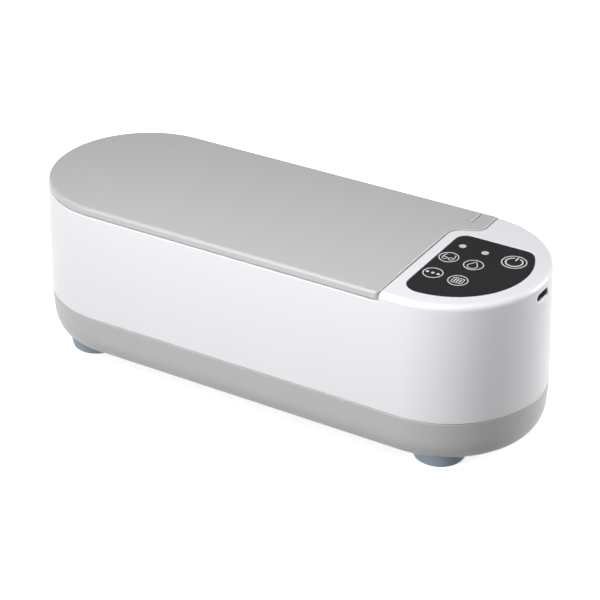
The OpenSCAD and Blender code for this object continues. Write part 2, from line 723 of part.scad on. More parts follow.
module strap_icon() {
    for (x = [-2, 2]) bar([x, -1.7], [x, 1.7], 0.3);
    for (y = [-1.7, 1.7]) bar([-2, y], [2, y], 0.3);
    for (x = [-1, 0, 1]) bar([x, -0.9], [x, 0.9], 0.45);
}

module power_icon() {
    difference() {
        ring(6.6, 0.55);
        polygon([[0, 0], [-1.5, 4.6], [1.5, 4.6]]);
    }
    bar([0, 1.4], [0, 3.5], 0.55);
}

module print_at(p) translate([p[0], p[1], panel_z]) linear_extrude(0.06) children();

module panel_icons() color([0.9, 0.9, 0.9]) {
    print_at(glasses_at) { ring(key_d, 0.35); glasses_icon(); }
    print_at(drop_at) { ring(key_d, 0.35); drop_icon(); }
    print_at(dots_at) { ring(key_d, 0.35); dots_icon(); }
    print_at(strap_at) { ring(key_d, 0.35); strap_icon(); }
    print_at(power_at) { ring(power_d, 0.4); power_icon(); }
}

// ---------- hinge and lid ----------

module hinge_pin(side) color([0.7, 0.71, 0.73])
    rod_x(pin_r, pin_l, [side * hinge_x, hinge_y, hinge_z]);

lid_side_x = side_at(rim_z) - 0.25;
lid_low_z = rim_z + rim_gap;
lid_flat_r = lid_side_x - 0.1 - lid_edge_r;
lid_under_z = deck_z - lid_t;
skirt_t = 2;

module lid_cover() color([0.75, 0.75, 0.74])
    difference() {
        union() {
            intersection() {
                track() polygon(concat(
                    [[lid_side_x, lid_low_z]],
                    arc([lid_flat_r, deck_z - lid_edge_r], lid_edge_r, 0, 90, 6),
                    [for (i = [1 : 8]) let (u = 1 - i / 8) [lid_flat_r * u, deck_z + lid_crown * (1 - u * u)]],
                    [[0, lid_under_z], [lid_side_x - skirt_t, lid_under_z], [lid_side_x - skirt_t, lid_low_z]]));
                lid_side(seam_gap, lid_low_z - 1, deck_z + lid_crown + 1);
            }
            // wall along the lid edge
            intersection() {
                track_plate(0, lid_side_x - skirt_t - 0.6, rim_z - 1.5, lid_under_z + 0.6);
                seam_band(seam_gap, seam_gap + skirt_t, rim_z - 2, deck_z);
            }
            // grip rib on the tab
            box([seam_x + 2, lid_flat_r - 7.6, deck_z - 0.5], [seam_x + 3.4, lid_flat_r - 0.4, deck_z + 0.35]);
            lid_knuckles(knuckle_r, lid_knuckle_l);
        }
        housing_knuckles(knuckle_r + knuckle_room, housing_knuckle_l + 2 * knuckle_gap);
        lid_knuckles(pin_r + pin_gap, lid_knuckle_l + 1);
        liner_screw_places() translate([0, 0, lid_under_z - 1]) cylinder(h = 2.3, r = 0.8, $fn = 32);
    }

module liner_screw_places()
    for (x = [tank_x0, tank_mid_x, tank_x1], y = [-1, 1])
        translate([x, y * (tank_r - 6), 0]) children();

liner_r = tank_r + 3.9;
liner_t = 1.8;
plug_low_z = ledge_z + 1;
seal_mid_r = tank_r + 1.6;

module lid_liner() color([0.86, 0.86, 0.87])
    difference() {
        union() {
            track_plate(0, liner_r, lid_under_z - liner_t, lid_under_z, tank_x0, tank_x1);
            track_plate(tank_r - 0.6, liner_r - 0.9, plug_low_z, lid_under_z - liner_t / 2, tank_x0, tank_x1);
            // ribs across the underside
            for (i = [-2 : 2])
                translate([tank_mid_x + i * (tank_x1 - tank_x0) / 5, 0, 0])
                    box([-0.6, -tank_r, lid_under_z - liner_t - 1], [0.6, tank_r, lid_under_z - liner_t / 2]);
        }
        track_plate(seal_mid_r - 0.8, seal_mid_r + 0.8, plug_low_z - 1, plug_low_z + 0.5, tank_x0, tank_x1);
        liner_screw_places() {
            translate([0, 0, lid_under_z - liner_t - 1.5]) cylinder(h = 2.4, r = 2.1, $fn = 32);
            translate([0, 0, lid_under_z - liner_t - 1]) cylinder(h = 4, r = 1.15, $fn = 32);
        }
    }

module lid_seal() color([0.85, 0.87, 0.9])
    track(tank_x0, tank_x1) union() {
        translate([seal_mid_r - 0.8, ledge_z + 0.9]) square([1.6, 0.6]);
        intersection() {
            translate([seal_mid_r, ledge_z + 0.92]) circle(r = 0.8, $fn = 32);
            translate([seal_mid_r - 1, ledge_z]) square([2, 1.2]);
        }
    }

module liner_screws() color([0.62, 0.63, 0.65])
    liner_screw_places() translate([0, 0, lid_under_z - liner_t + 0.9]) screw(0.95, 2.1, 1.8, 0.9);

// ---------- which piece is drawn ----------

base_shell();
base_screws();
foot(-foot_x, -foot_y);  // foot_front_left
foot(foot_x, -foot_y);  // foot_front_right
foot(-foot_x, foot_y);  // foot_rear_left
foot(foot_x, foot_y);  // foot_rear_right
housing();
tank();
tank_gasket();
tank_screws();
coupling_disc();
piezo_disc();
piezo_leads();
battery_cradle();
battery_cell();
battery_contacts();
battery_leads();
main_board();
main_board_chips();
transformer_core();
transformer_winding();
capacitors();
power_transistor();
heat_sink();
board_connectors();
main_board_screws();
touch_board();
touch_controller();
touch_springs();
status_leds();
touch_board_screws();
ribbon_cable();
usb_socket();
usb_tongue();
control_panel();
panel_icons();
light_pipe(light_at[0]);  // power_light_pipe
light_pipe(light_at[1]);  // charge_light_pipe
hinge_pin(-1);  // hinge_pin_left
hinge_pin(1);  // hinge_pin_right
lid_cover();
lid_liner();
lid_seal();
liner_screws();
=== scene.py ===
import json
import math

import bmesh
import bpy
from mathutils import Matrix, Vector


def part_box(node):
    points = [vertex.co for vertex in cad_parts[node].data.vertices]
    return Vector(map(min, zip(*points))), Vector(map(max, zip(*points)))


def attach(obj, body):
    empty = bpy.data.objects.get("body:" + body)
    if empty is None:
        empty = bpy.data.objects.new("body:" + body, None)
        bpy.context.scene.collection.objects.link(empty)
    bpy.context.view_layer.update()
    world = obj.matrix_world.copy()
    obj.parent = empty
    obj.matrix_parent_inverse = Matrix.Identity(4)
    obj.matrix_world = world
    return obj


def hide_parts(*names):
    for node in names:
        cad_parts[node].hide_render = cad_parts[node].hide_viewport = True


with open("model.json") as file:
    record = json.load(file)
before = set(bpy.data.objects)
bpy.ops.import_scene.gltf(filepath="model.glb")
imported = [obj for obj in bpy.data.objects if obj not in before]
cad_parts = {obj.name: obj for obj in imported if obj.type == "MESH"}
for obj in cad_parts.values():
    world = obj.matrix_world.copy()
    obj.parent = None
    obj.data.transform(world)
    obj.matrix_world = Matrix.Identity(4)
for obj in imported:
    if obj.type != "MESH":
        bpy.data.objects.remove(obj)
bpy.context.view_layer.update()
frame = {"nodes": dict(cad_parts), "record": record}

# ---------- sizes, in millimetres in the frame of the CAD ----------

MM = 0.001


def node_box(name):
    """Lowest and highest corner of a CAD node, in millimetres."""
    low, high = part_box(name)
    return low / MM, high / MM


def middle_of(name):
    low, high = node_box(name)
    return (low + high) / 2


base_high = node_box("base_shell")[1]
HALF_W = base_high.y
END_X = base_high.x - HALF_W
DECK_Z = node_box("housing")[1].z
STEP_H = 3.4
HOUSING_H = 42.8
RIM_Z = DECK_Z - STEP_H
SPLIT_Z = RIM_Z - HOUSING_H
LIP_H = 3
DRAFT = 1.1
WALL = 2.4
DECK_T = 2.4
DECK_EDGE_R = 2.2
SHELL_GAP = 0.15

LID_BACK = 45.8
TAB_L = 10.1
SEAM_X = END_X + HALF_W - LID_BACK
TAB_X = SEAM_X + TAB_L
SEAM_GAP = 0.4
SEAM_TURN_R = 6.2
TAB_CORNER_R = 4.3
SEAM_TURN_A = 67
TAB_W = 23.3
SEAM_WALL = 2

panel_low, panel_high = node_box("control_panel")
PANEL_GAP = 0.12
PANEL_X = panel_low.x - PANEL_GAP
PANEL_Y = panel_high.y + PANEL_GAP
PANEL_FORWARD = 1.2
PANEL_C = (END_X + PANEL_FORWARD, 0)
PANEL_R = panel_high.x + PANEL_GAP - PANEL_C[0]
PANEL_CORNER_R = 4.3
PANEL_LOW_R = 6.5
PANEL_Z = panel_high.z
PANEL_T = 1.2

tank_low, tank_high = node_box("tank")
TANK_FLANGE_R = tank_high.y
FLANGE_W = 4.6
TANK_R = TANK_FLANGE_R - FLANGE_W
TANK_X = (tank_low.x + TANK_FLANGE_R, tank_high.x - TANK_FLANGE_R)
LEDGE_DROP = 3.1
LEDGE_Z = RIM_Z - LEDGE_DROP
LEDGE_T = 3

HINGE_AT = [middle_of("hinge_pin_left"), middle_of("hinge_pin_right")]
KNUCKLE_R = 1.75
LID_KNUCKLE_L = 10
HOUSING_KNUCKLE_L = 7
KNUCKLE_GAP = 0.2
KNUCKLE_ROOM = 0.35
KNUCKLE_EDGE = 0.25
KNUCKLE_PITCH = LID_KNUCKLE_L / 2 + KNUCKLE_GAP + HOUSING_KNUCKLE_L / 2

FAR = 300  # beyond every outline
PAST = 5  # how far a cutting tool reaches past what it cuts
NEAR = 1e-3  # two heights closer than this are the same
LEVEL = 0.99  # a face whose normal rises more than this is level


def cos_d(a):
    return math.cos(math.radians(a))


def sin_d(a):
    return math.sin(math.radians(a))


def side_at(z):
    """Half width of the leaning side wall at height z."""
    return HALF_W - DRAFT * (z - SPLIT_Z) / (RIM_Z - SPLIT_Z)


# ---------- camera, floor and lights ----------


def add_object(name, data):
    made = bpy.data.objects.new(name, data)
    bpy.context.collection.objects.link(made)
    return made


AIM = Vector((3.96, -0.35, 31.33)) * MM
AZIMUTH, ELEVATION, ROLL = 31.26, 29.65, -0.15
CAMERA_FAR = 0.7567
LENS = 122.07


def towards(azimuth, elevation):
    """Unit vector from the object to where the azimuth and elevation point."""
    return Vector((sin_d(azimuth) * cos_d(elevation), -cos_d(azimuth) * cos_d(elevation), sin_d(elevation)))


def make_camera():
    data = bpy.data.cameras.new("camera")
    data.lens, data.sensor_width = LENS, 36
    data.clip_start, data.clip_end = 0.05, 20
    camera = add_object("camera", data)
    back = towards(AZIMUTH, ELEVATION)
    camera.location = AIM + back * CAMERA_FAR
    level = (-back).to_track_quat("-Z", "Y").to_matrix().to_4x4()
    turn = level @ Matrix.Rotation(math.radians(ROLL), 4, "Z")
    camera.rotation_mode = "QUATERNION"
    camera.rotation_quaternion = turn.to_quaternion()
    bpy.context.scene.camera = camera


def softbox(name, azimuth, elevation, distance, size, watts):
    """A rectangular light that faces the object."""
    data = bpy.data.lights.new(name, "AREA")
    data.shape, data.size, data.size_y = "RECTANGLE", size[0], size[1]
    data.energy = watts
    light = add_object(name, data)
    back = towards(azimuth, elevation)
    light.location = AIM + back * distance
    light.rotation_mode = "QUATERNION"
    light.rotation_quaternion = (-back).to_track_quat("-Z", "Y")
    light.visible_camera = False


ROOM_LIGHT = 0.1
FLOOR_HALF_M = 4


def make_room():
    """White surroundings, four rectangular lights, and the floor."""
    world = bpy.data.worlds.new("room")
    world.use_nodes = True
    sky = world.node_tree.nodes["Background"]
    sky.inputs["Color"].default_value = (1, 1, 1, 1)
    sky.inputs["Strength"].default_value = ROOM_LIGHT
    bpy.context.scene.world = world
    bpy.context.scene.view_settings.view_transform = "Standard"
    softbox("front_box", -21, 15, 1.5, (1.0, 0.8), 12.6)
    softbox("top_box", -10, 72, 1.1, (1.0, 0.7), 5.6)
    softbox("near_strip", 6, 50, 0.25, (0.3, 0.05), 0.27)
    softbox("end_box", 137, 12, 1.5, (0.6, 0.8), 19)
    bm = bmesh.new()
    bmesh.ops.create_grid(bm, x_segments=8, y_segments=8, size=FLOOR_HALF_M)
    mesh = bpy.data.meshes.new("floor")
    bm.to_mesh(mesh)
    bm.free()
    floor = add_object("floor", mesh)
    floor.data.materials.append(FLOOR_FINISH)
    floor.visible_diffuse = False


# ---------- finishes ----------

class Value:
    """The output of a shader node, on which plain arithmetic works."""

    def __init__(self, finish, socket):
        self.finish, self.socket = finish, socket

    def _math(self, operation, *terms):
        return self.finish.node("ShaderNodeMath", {"operation": operation}, dict(enumerate(terms)))

    def __add__(self, other):
        return self._math("ADD", self, other)

    def __radd__(self, other):
        return self._math("ADD", other, self)

    def __mul__(self, other):
        return self._math("MULTIPLY", self, other)

    def __rmul__(self, other):
        return self._math("MULTIPLY", other, self)


class Finish:
    """A material made of shader nodes."""

    def __init__(self, name):
        self.material = bpy.data.materials.new(name)
        self.material.use_nodes = True
        self.tree = self.material.node_tree
        self.tree.nodes.clear()
        self.place = self.node("ShaderNodeTexCoord", out="Object")

    def node(self, kind, settings=(), inputs=(), out=0):
        """A node with its settings, and a number or a link for each input that is named."""
        made = self.tree.nodes.new(kind)
        for key, value in dict(settings).items():
            setattr(made, key, value)
        for key, value in dict(inputs).items():
            if isinstance(value, Value):
                self.tree.links.new(value.socket, made.inputs[key])
            else:
                made.inputs[key].default_value = value
        return Value(self, made.outputs[out])

    def noise(self, scale, detail=3, roughness=0.5, stretch=(1, 1, 1)):
        at = self.node("ShaderNodeVectorMath", {"operation": "MULTIPLY"}, {0: self.place, 1: stretch})
        return self.node("ShaderNodeTexNoise", (), {"Vector": at, "Scale": scale, "Detail": detail,
                                                    "Roughness": roughness})

    def mix(self, share, a, b):
        a, b = ((*c, 1) if isinstance(c, tuple) else c for c in (a, b))
        return self.node("ShaderNodeMix", {"data_type": "RGBA"}, {0: share, 6: a, 7: b}, out=2)

    def bump(self, height, depth, strength=1.0):
        return self.node("ShaderNodeBump", (), {"Strength": strength, "Distance": depth, "Height": height})

    def done(self, inputs, fixed=()):
        shader = self.node("ShaderNodeBsdfPrincipled", (), {**dict(fixed), **inputs})
        end = self.tree.nodes.new("ShaderNodeOutputMaterial")
        self.tree.links.new(shader.socket, end.inputs["Surface"])
        return self.material


def shade_of(tone, by):
    """The same tone, darker below 1 and lighter above it."""
    return tuple(c * by for c in tone)


def moulded(name, tone, rough, grain=2600, depth=0.000006, drift=0.03):
    """Moulded plastic: fine tool grain, slow drift of tone and gloss."""
    f = Finish(name)
    slow = f.noise(18, 3)
    fine = f.noise(grain, 4, 0.6)
    tone_now = f.mix(slow * 0.7 + fine * 0.3, shade_of(tone, 1 - drift), shade_of(tone, 1 + drift))
    return f.done({"Base Color": tone_now, "Roughness": rough - 0.04 + slow * 0.05 + fine * 0.03,
                   "Normal": f.bump(fine, depth)})


def soft_rubber(name, tone, rough=0.6):
    """Silicone or rubber: dusty highlights and a soft surface."""
    f = Finish(name)
    slow = f.noise(60, 4)
    fine = f.noise(1800, 3)
    tone_now = f.mix(slow, shade_of(tone, 0.93), shade_of(tone, 1.07))
    return f.done({"Base Color": tone_now, "Roughness": rough + slow * 0.1,
                   "Normal": f.bump(fine, 0.00001)})


def drawn_steel(name, tone, rough, along=(1, 14, 14), grain=260):
    """Sheet or wire metal with fine lines along the way it was drawn."""
    f = Finish(name)
    lines = f.noise(grain, 6, 0.65, along)
    slow = f.noise(22, 3)
    tone_now = f.mix(lines * 0.6 + slow * 0.4, shade_of(tone, 0.86), shade_of(tone, 1.1))
    return f.done({"Base Color": tone_now, "Roughness": rough - 0.06 + lines * 0.14 + slow * 0.05,
                   "Normal": f.bump(lines, 0.000006)}, {"Metallic": 1.0})


def board_finish(name):
    """Green solder mask over copper tracks."""
    f = Finish(name)
    at = f.node("ShaderNodeVectorMath", {"operation": "MULTIPLY"}, {0: f.place, 1: (1, 1, 0)})
    tracks = f.node("ShaderNodeTexBrick", {"offset": 0.5, "squash": 1.0},
                    {"Vector": at, "Scale": 300, "Mortar Size": 0.035, "Mortar Smooth": 0.3,
                     "Brick Width": 1.3, "Row Height": 0.45}, out="Fac")
    blotch = f.noise(140, 3)
    tone = f.mix(tracks, (0.008, 0.10, 0.035), (0.03, 0.22, 0.07))
    tone = f.mix(blotch * 0.4, tone, (0.01, 0.08, 0.03))
    return f.done({"Base Color": tone, "Roughness": 0.32 + blotch * 0.08,
                   "Normal": f.bump(tracks, 0.00002)})


def ribbed(name, tone_a, tone_b, across, pitch, rough=0.4):
    """Bands side by side: turns of tape, or the wires of a flat cable."""
    f = Finish(name)
    bands = f.node("ShaderNodeTexWave", {"wave_type": "BANDS", "bands_direction": across},
                   {"Vector": f.place, "Scale": 0.314 / pitch, "Distortion": 0.0})
    fine = f.noise(900, 3)
    return f.done({"Base Color": f.mix(bands * 0.8 + fine * 0.2, tone_a, tone_b),
                   "Roughness": rough + fine * 0.1, "Normal": f.bump(bands, 0.00003)})


def fired(name, tone, rough=0.55):
    """Sintered ceramic: fine pits and speckle."""
    f = Finish(name)
    pits = f.node("ShaderNodeTexVoronoi", {"feature": "F1"}, {"Vector": f.place, "Scale": 1400})
    cloud = f.noise(120, 4)
    speck = f.mix(pits, shade_of(tone, 1.15), shade_of(tone, 0.8))
    return f.done({"Base Color": f.mix(cloud * 0.5, speck, shade_of(tone, 0.9)),
                   "Roughness": rough + cloud * 0.1, "Normal": f.bump(pits, 0.00002)})


def glossy_panel(name):
    """Black acrylic with a printed back and a faint ripple on its face."""
    f = Finish(name)
    ripple = f.noise(40, 2)
    dust = f.noise(3000, 2)
    tone = f.mix(dust * 0.5 + ripple * 0.5, (0.018, 0.018, 0.02), (0.028, 0.028, 0.03))
    return f.done({"Base Color": tone, "Roughness": 0.2 + ripple * 0.08,
                   "Normal": f.bump(ripple, 0.00001, 0.3)})


def light_window(name):
    """Frosted light pipe, lit from below by its diode."""
    f = Finish(name)
    frost = f.noise(2200, 3)
    glow = f.mix(frost, (0.52, 0.52, 0.53), (0.62, 0.62, 0.63))
    return f.done({"Base Color": glow, "Roughness": 0.35 + frost * 0.15, "Emission Color": glow},
                  {"Emission Strength": 0.05})


def floor_finish():
    """White floor that glows a little, so that it stays white round the object."""
    f = Finish("studio_floor")
    cloud = f.noise(3, 2)
    tone = f.mix(cloud, (0.9, 0.9, 0.9), (0.92, 0.92, 0.92))
    return f.done({"Base Color": tone, "Roughness": 0.8 + cloud * 0.05, "Emission Color": tone},
                  {"Emission Strength": 0.8, "Specular IOR Level": 0.1})


FLOOR_FINISH = floor_finish()

FINISHES = {
    "white_plastic": moulded("white_plastic", (0.83, 0.83, 0.86), 0.3, drift=0.012),
    "grey_plastic": moulded("grey_plastic", (0.49, 0.49, 0.485), 0.36, drift=0.02),
    "lid_plastic": moulded("lid_plastic", (0.53, 0.53, 0.528), 0.3, drift=0.015),
    "liner_plastic": moulded("liner_plastic", (0.72, 0.72, 0.73), 0.36),
    "foot_silicone": soft_rubber("foot_silicone", (0.33, 0.41, 0.49)),
    "seal_silicone": soft_rubber("seal_silicone", (0.68, 0.71, 0.75), 0.5),
    "gasket_rubber": soft_rubber("gasket_rubber", (0.09, 0.1, 0.11), 0.65),
    "tank_steel": drawn_steel("tank_steel", (0.62, 0.63, 0.64), 0.28),
    "screw_steel": drawn_steel("screw_steel", (0.55, 0.56, 0.58), 0.32, (3, 3, 3), 900),
    "socket_steel": drawn_steel("socket_steel", (0.6, 0.6, 0.62), 0.3, (1, 6, 6), 700),
    "cast_aluminium": drawn_steel("cast_aluminium", (0.66, 0.67, 0.69), 0.38, (2, 2, 2), 700),
    "piezo_ceramic": fired("piezo_ceramic", (0.66, 0.62, 0.5), 0.45),
    "red_wire": soft_rubber("red_wire", (0.5, 0.03, 0.02), 0.4),
    "black_wire": soft_rubber("black_wire", (0.02, 0.02, 0.02), 0.4),
    "black_plastic": moulded("black_plastic", (0.022, 0.022, 0.024), 0.45, drift=0.1),
    "cell_wrap": ribbed("cell_wrap", (0.03, 0.16, 0.46), (0.05, 0.22, 0.56), "X", 0.02, 0.3),
    "contact_brass": drawn_steel("contact_brass", (0.72, 0.62, 0.38), 0.3, (2, 2, 2), 900),
    "circuit_board": board_finish("circuit_board"),
    "ferrite": fired("ferrite", (0.05, 0.05, 0.055)),
    "winding_tape": ribbed("winding_tape", (0.55, 0.36, 0.04), (0.75, 0.5, 0.08), "Z", 0.0011),
    "capacitor_sleeve": moulded("capacitor_sleeve", (0.02, 0.03, 0.08), 0.3, drift=0.1),
    "connector_nylon": moulded("connector_nylon", (0.76, 0.73, 0.62), 0.5),
    "led_body": moulded("led_body", (0.82, 0.8, 0.6), 0.3),
    "ribbon_grey": ribbed("ribbon_grey", (0.5, 0.51, 0.53), (0.66, 0.67, 0.69), "Y", 0.001),
    "panel_black": glossy_panel("panel_black"),
    "icon_print": moulded("icon_print", (0.72, 0.72, 0.73), 0.5),
    "light_pipe": light_window("light_pipe"),
}
# the frame's own pieces take their finishes too
for row in frame["record"]["subparts"]:
    for slot in frame["nodes"][row["node"]].material_slots:
        slot.material = FINISHES[row["material_slot"]]

# ---------- making shells ----------


def new_piece(name, bm):
    """An object from a bmesh, still in millimetres."""
    bmesh.ops.remove_doubles(bm, verts=bm.verts, dist=1e-4)
    bmesh.ops.recalc_face_normals(bm, faces=bm.faces)
    mesh = bpy.data.meshes.new(name)
    bm.to_mesh(mesh)
    bm.free()
    return add_object(name, mesh)


def drop(piece):
    mesh = piece.data
    bpy.data.objects.remove(piece)
    bpy.data.meshes.remove(mesh)


def carve(piece, tool, operation="DIFFERENCE"):
    """Cuts a tool out of a piece, or joins it on, and drops the tool."""
    change = piece.modifiers.new("carve", "BOOLEAN")
    change.operation, change.solver, change.object = operation, "EXACT", tool
    graph = bpy.context.evaluated_depsgraph_get()
    done = bpy.data.meshes.new_from_object(piece.evaluated_get(graph))
    piece.modifiers.clear()
    old, piece.data = piece.data, done
    bpy.data.meshes.remove(old)
    drop(tool)
    return piece


def finish_piece(piece, body, slot, *nodes):
    """Turns the piece to metres, smooths it, gives it its finish, hangs it on its body's empty and hides the
    CAD nodes it stands in for.
    """
    piece.data.transform(Matrix.Scale(MM, 4))
    piece.data.shade_smooth()
    piece.data.set_sharp_from_angle(angle=math.radians(38))
    even = piece.modifiers.new("even_normals", "WEIGHTED_NORMAL")
    even.keep_sharp = True
    piece.data.materials.clear()
    piece.data.materials.append(FINISHES[slot])
    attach(piece, body)
    if nodes:
        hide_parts(*nodes)
    return piece


def round_edges(piece, pick, size, steps=3, sharper_than=25):
    """Rounds the edges that pick accepts, given an edge's middle and its two face normals."""
    bm = bmesh.new()
    bm.from_mesh(piece.data)
    bmesh.ops.remove_doubles(bm, verts=bm.verts, dist=1e-3)
    bmesh.ops.dissolve_degenerate(bm, edges=bm.edges, dist=1e-3)
    edges = []
    for e in bm.edges:
        if len(e.link_faces) == 2 and e.calc_face_angle(0) > math.radians(sharper_than):
            if pick((e.verts[0].co + e.verts[1].co) / 2, *(f.normal for f in e.link_faces)):
                edges.append(e)
    bmesh.ops.bevel(bm, geom=edges, offset=size, segments=steps, profile=0.5, affect="EDGES",
                    clamp_overlap=False)
    bm.to_mesh(piece.data)
    bm.free()


def arc(centre, r, a0, a1, n):
    """Points of an arc in n steps, from angle a0 to a1 in degrees."""
    angles = [a0 + (a1 - a0) * i / n for i in range(n + 1)]
    return [(centre[0] + r * cos_d(a), centre[1] + r * sin_d(a)) for a in angles]


def track_stations(x0, x1, turn_steps, side_steps):
    """Stations round a stadium: x of the centre, and the direction outwards."""
    stations = []
    for x_from, x_to, a0 in ((x1, x0, -90), (x0, x1, 90)):
        for i in range(turn_steps + 1):
            a = a0 + 180 * i / turn_steps
            stations.append((x_from, cos_d(a), sin_d(a)))
        for i in range(1, side_steps):
            stations.append((x_from + (x_to - x_from) * i / side_steps, 0, sin_d(a0 + 180)))
    return stations


def join_rings(name, bm, rings):
    """Faces between each copy of a section and the next one round."""
    for i, here in enumerate(rings):
        after = rings[(i + 1) % len(rings)]
        for k in range(len(here) - 1):
            bm.faces.new((here[k], after[k], after[k + 1], here[k + 1]))
    return new_piece(name, bm)


def sweep_track(name, section, x0=-END_X, x1=END_X, turn_steps=64, side_steps=12):
    """Sweeps a half section round a stadium. It runs from the centreline back to the centreline."""
    bm = bmesh.new()
    rings = [[bm.verts.new((cx + r * dx, r * dy, z)) for r, z in section]
             for cx, dx, dy in track_stations(x0, x1, turn_steps, side_steps)]
    return join_rings(name, bm, rings)


def revolve(name, section, centre, steps=64):
    """A turned solid: the section starts and ends on the axis."""
    bm = bmesh.new()
    angles = [360 * i / steps for i in range(steps)]
    rings = [[bm.verts.new((centre[0] + r * cos_d(a), centre[1] + r * sin_d(a), z)) for r, z in section]
             for a in angles]
    return join_rings(name, bm, rings)


def rod_z(name, r, z0, z1, at, steps=48):
    return revolve(name, [(0, z0), (r, z0), (r, z1), (0, z1)], at, steps)


def prism(name, outline, z0, z1):
    """An upright solid over a flat outline."""
    bm = bmesh.new()
    low = [bm.verts.new((x, y, z0)) for x, y in outline]
    high = [bm.verts.new((x, y, z1)) for x, y in outline]
    bm.faces.new(low)
    bm.faces.new(high)
    for i in range(len(low)):
        j = (i + 1) % len(low)
        bm.faces.new((low[i], low[j], high[j], high[i]))
    return new_piece(name, bm)


def rod_x(name, r, x0, x1, y, z, steps=48, edge=0.0):
    """A rod along X with its end edges rounded by edge."""
    section = [(0, x0), *arc((r - edge, x0 + edge), edge, -90, 0, 4),
               *arc((r - edge, x1 - edge), edge, 0, 90, 4), (0, x1)]
    piece = revolve(name, section, (0, 0), steps)
    piece.data.transform(Matrix.Translation((0, y, z)) @ Matrix.Rotation(math.radians(90), 4, "Y"))
    return piece


def slab(name, low, high):
    """A box between two corners."""
    outline = [(low[0], low[1]), (high[0], low[1]), (high[0], high[1]), (low[0], high[1])]
    return prism(name, outline, low[2], high[2])


# ---------- outlines ----------

# the seam runs across, turns, slopes along the tab, and turns back at the tab's corner
TURN_C = (SEAM_X + SEAM_TURN_R, HALF_W - TAB_W)
TURN_A = 180 - SEAM_TURN_A
SLOPE_L = (TAB_X - TAB_CORNER_R - TURN_C[0] - (SEAM_TURN_R + TAB_CORNER_R) * cos_d(TURN_A)) / sin_d(TURN_A)
CORNER_C = (TURN_C[0] + (SEAM_TURN_R + TAB_CORNER_R) * cos_d(TURN_A) + SLOPE_L * sin_d(TURN_A),
            TURN_C[1] + (SEAM_TURN_R + TAB_CORNER_R) * sin_d(TURN_A) - SLOPE_L * cos_d(TURN_A))


def seam_line(off):
    """The line where the lid meets the deck, moved towards the lid by off."""
    return [(SEAM_X - off, -FAR), *arc(TURN_C, SEAM_TURN_R + off, 180, TURN_A, 16),
            *arc(CORNER_C, TAB_CORNER_R - off, TURN_A - 180, 0, 16), (TAB_X - off, FAR)]


def lid_area(off, z0, z1):
    return prism("lid_area", [*seam_line(off), (-FAR, FAR), (-FAR, -FAR)], z0, z1)


def deck_area(off, z0, z1):
    return prism("deck_area", [*seam_line(off), (FAR, FAR), (FAR, -FAR)], z0, z1)


def seam_distance(x, y, off):
    """Distance in plan from a point to the seam line moved by off."""
    line = seam_line(off)
    best = FAR
    for a, b in zip(line, line[1:]):
        span = (b[0] - a[0], b[1] - a[1])
        t = ((x - a[0]) * span[0] + (y - a[1]) * span[1]) / (span[0] ** 2 + span[1] ** 2)
        t = min(1, max(0, t))
        best = min(best, math.hypot(x - a[0] - t * span[0], y - a[1] - t * span[1]))
    return best


def panel_outline(inset, n=48):
    """The panel's outline in plan: a round end, two corners and a large low corner."""
    low_a = -math.degrees(math.acos((PANEL_X + PANEL_LOW_R - PANEL_C[0]) / (PANEL_R - PANEL_LOW_R)))
    high_a = math.degrees(math.asin((PANEL_Y - PANEL_CORNER_R) / (PANEL_R - PANEL_CORNER_R)))
    low_c = arc(PANEL_C, PANEL_R - PANEL_LOW_R, low_a, low_a, 1)[0]
    high_c = arc(PANEL_C, PANEL_R - PANEL_CORNER_R, high_a, high_a, 1)[0]
    corner = PANEL_CORNER_R - inset
    return [*arc(PANEL_C, PANEL_R - inset, low_a, high_a, n), *arc(high_c, corner, high_a, 90, 12)[1:],
            *arc((PANEL_X + PANEL_CORNER_R, PANEL_Y - PANEL_CORNER_R), corner, 90, 180, 16),
            *arc(low_c, PANEL_LOW_R - inset, 180, 360 + low_a, 16)[:-1]]


def housing_knuckles(at, gap=0.0):
    """Start and end along X of the two knuckles that hold one pin in the housing."""
    half = HOUSING_KNUCKLE_L / 2 + gap
    middles = [at.x + end * KNUCKLE_PITCH for end in (-1, 1)]
    return [(mid - half, mid + half) for mid in middles]


# ---------- white housing ----------

LIGHTS = [middle_of("power_light_pipe"), middle_of("charge_light_pipe")]
LIGHT_R = 1.35
LIGHT_ROOM = 0.1
PORT_W, PORT_H = 9.2, 3.4
PORT_REACH = 4
PIN_R = 1.0
PIN_HALF_L = 12.4
UNDER_ROOM = 0.4
SEAM_EDGE = 0.35
RECESS_EDGE = 0.2
PORT_EDGE = 0.4


def slot_tool(name, w, h, x0, x1, y, z, steps=24):
    """A flat slot with round ends, cut along X."""
    half = (w - h) / 2
    outline = [*arc((y + half, z), h / 2, -90, 90, steps), *arc((y - half, z), h / 2, 90, 270, steps)]
    piece = prism(name, outline, x0, x1)
    piece.data.transform(Matrix(((0, 0, 1, 0), (1, 0, 0, 0), (0, 1, 0, 0), (0, 0, 0, 1))))
    return piece


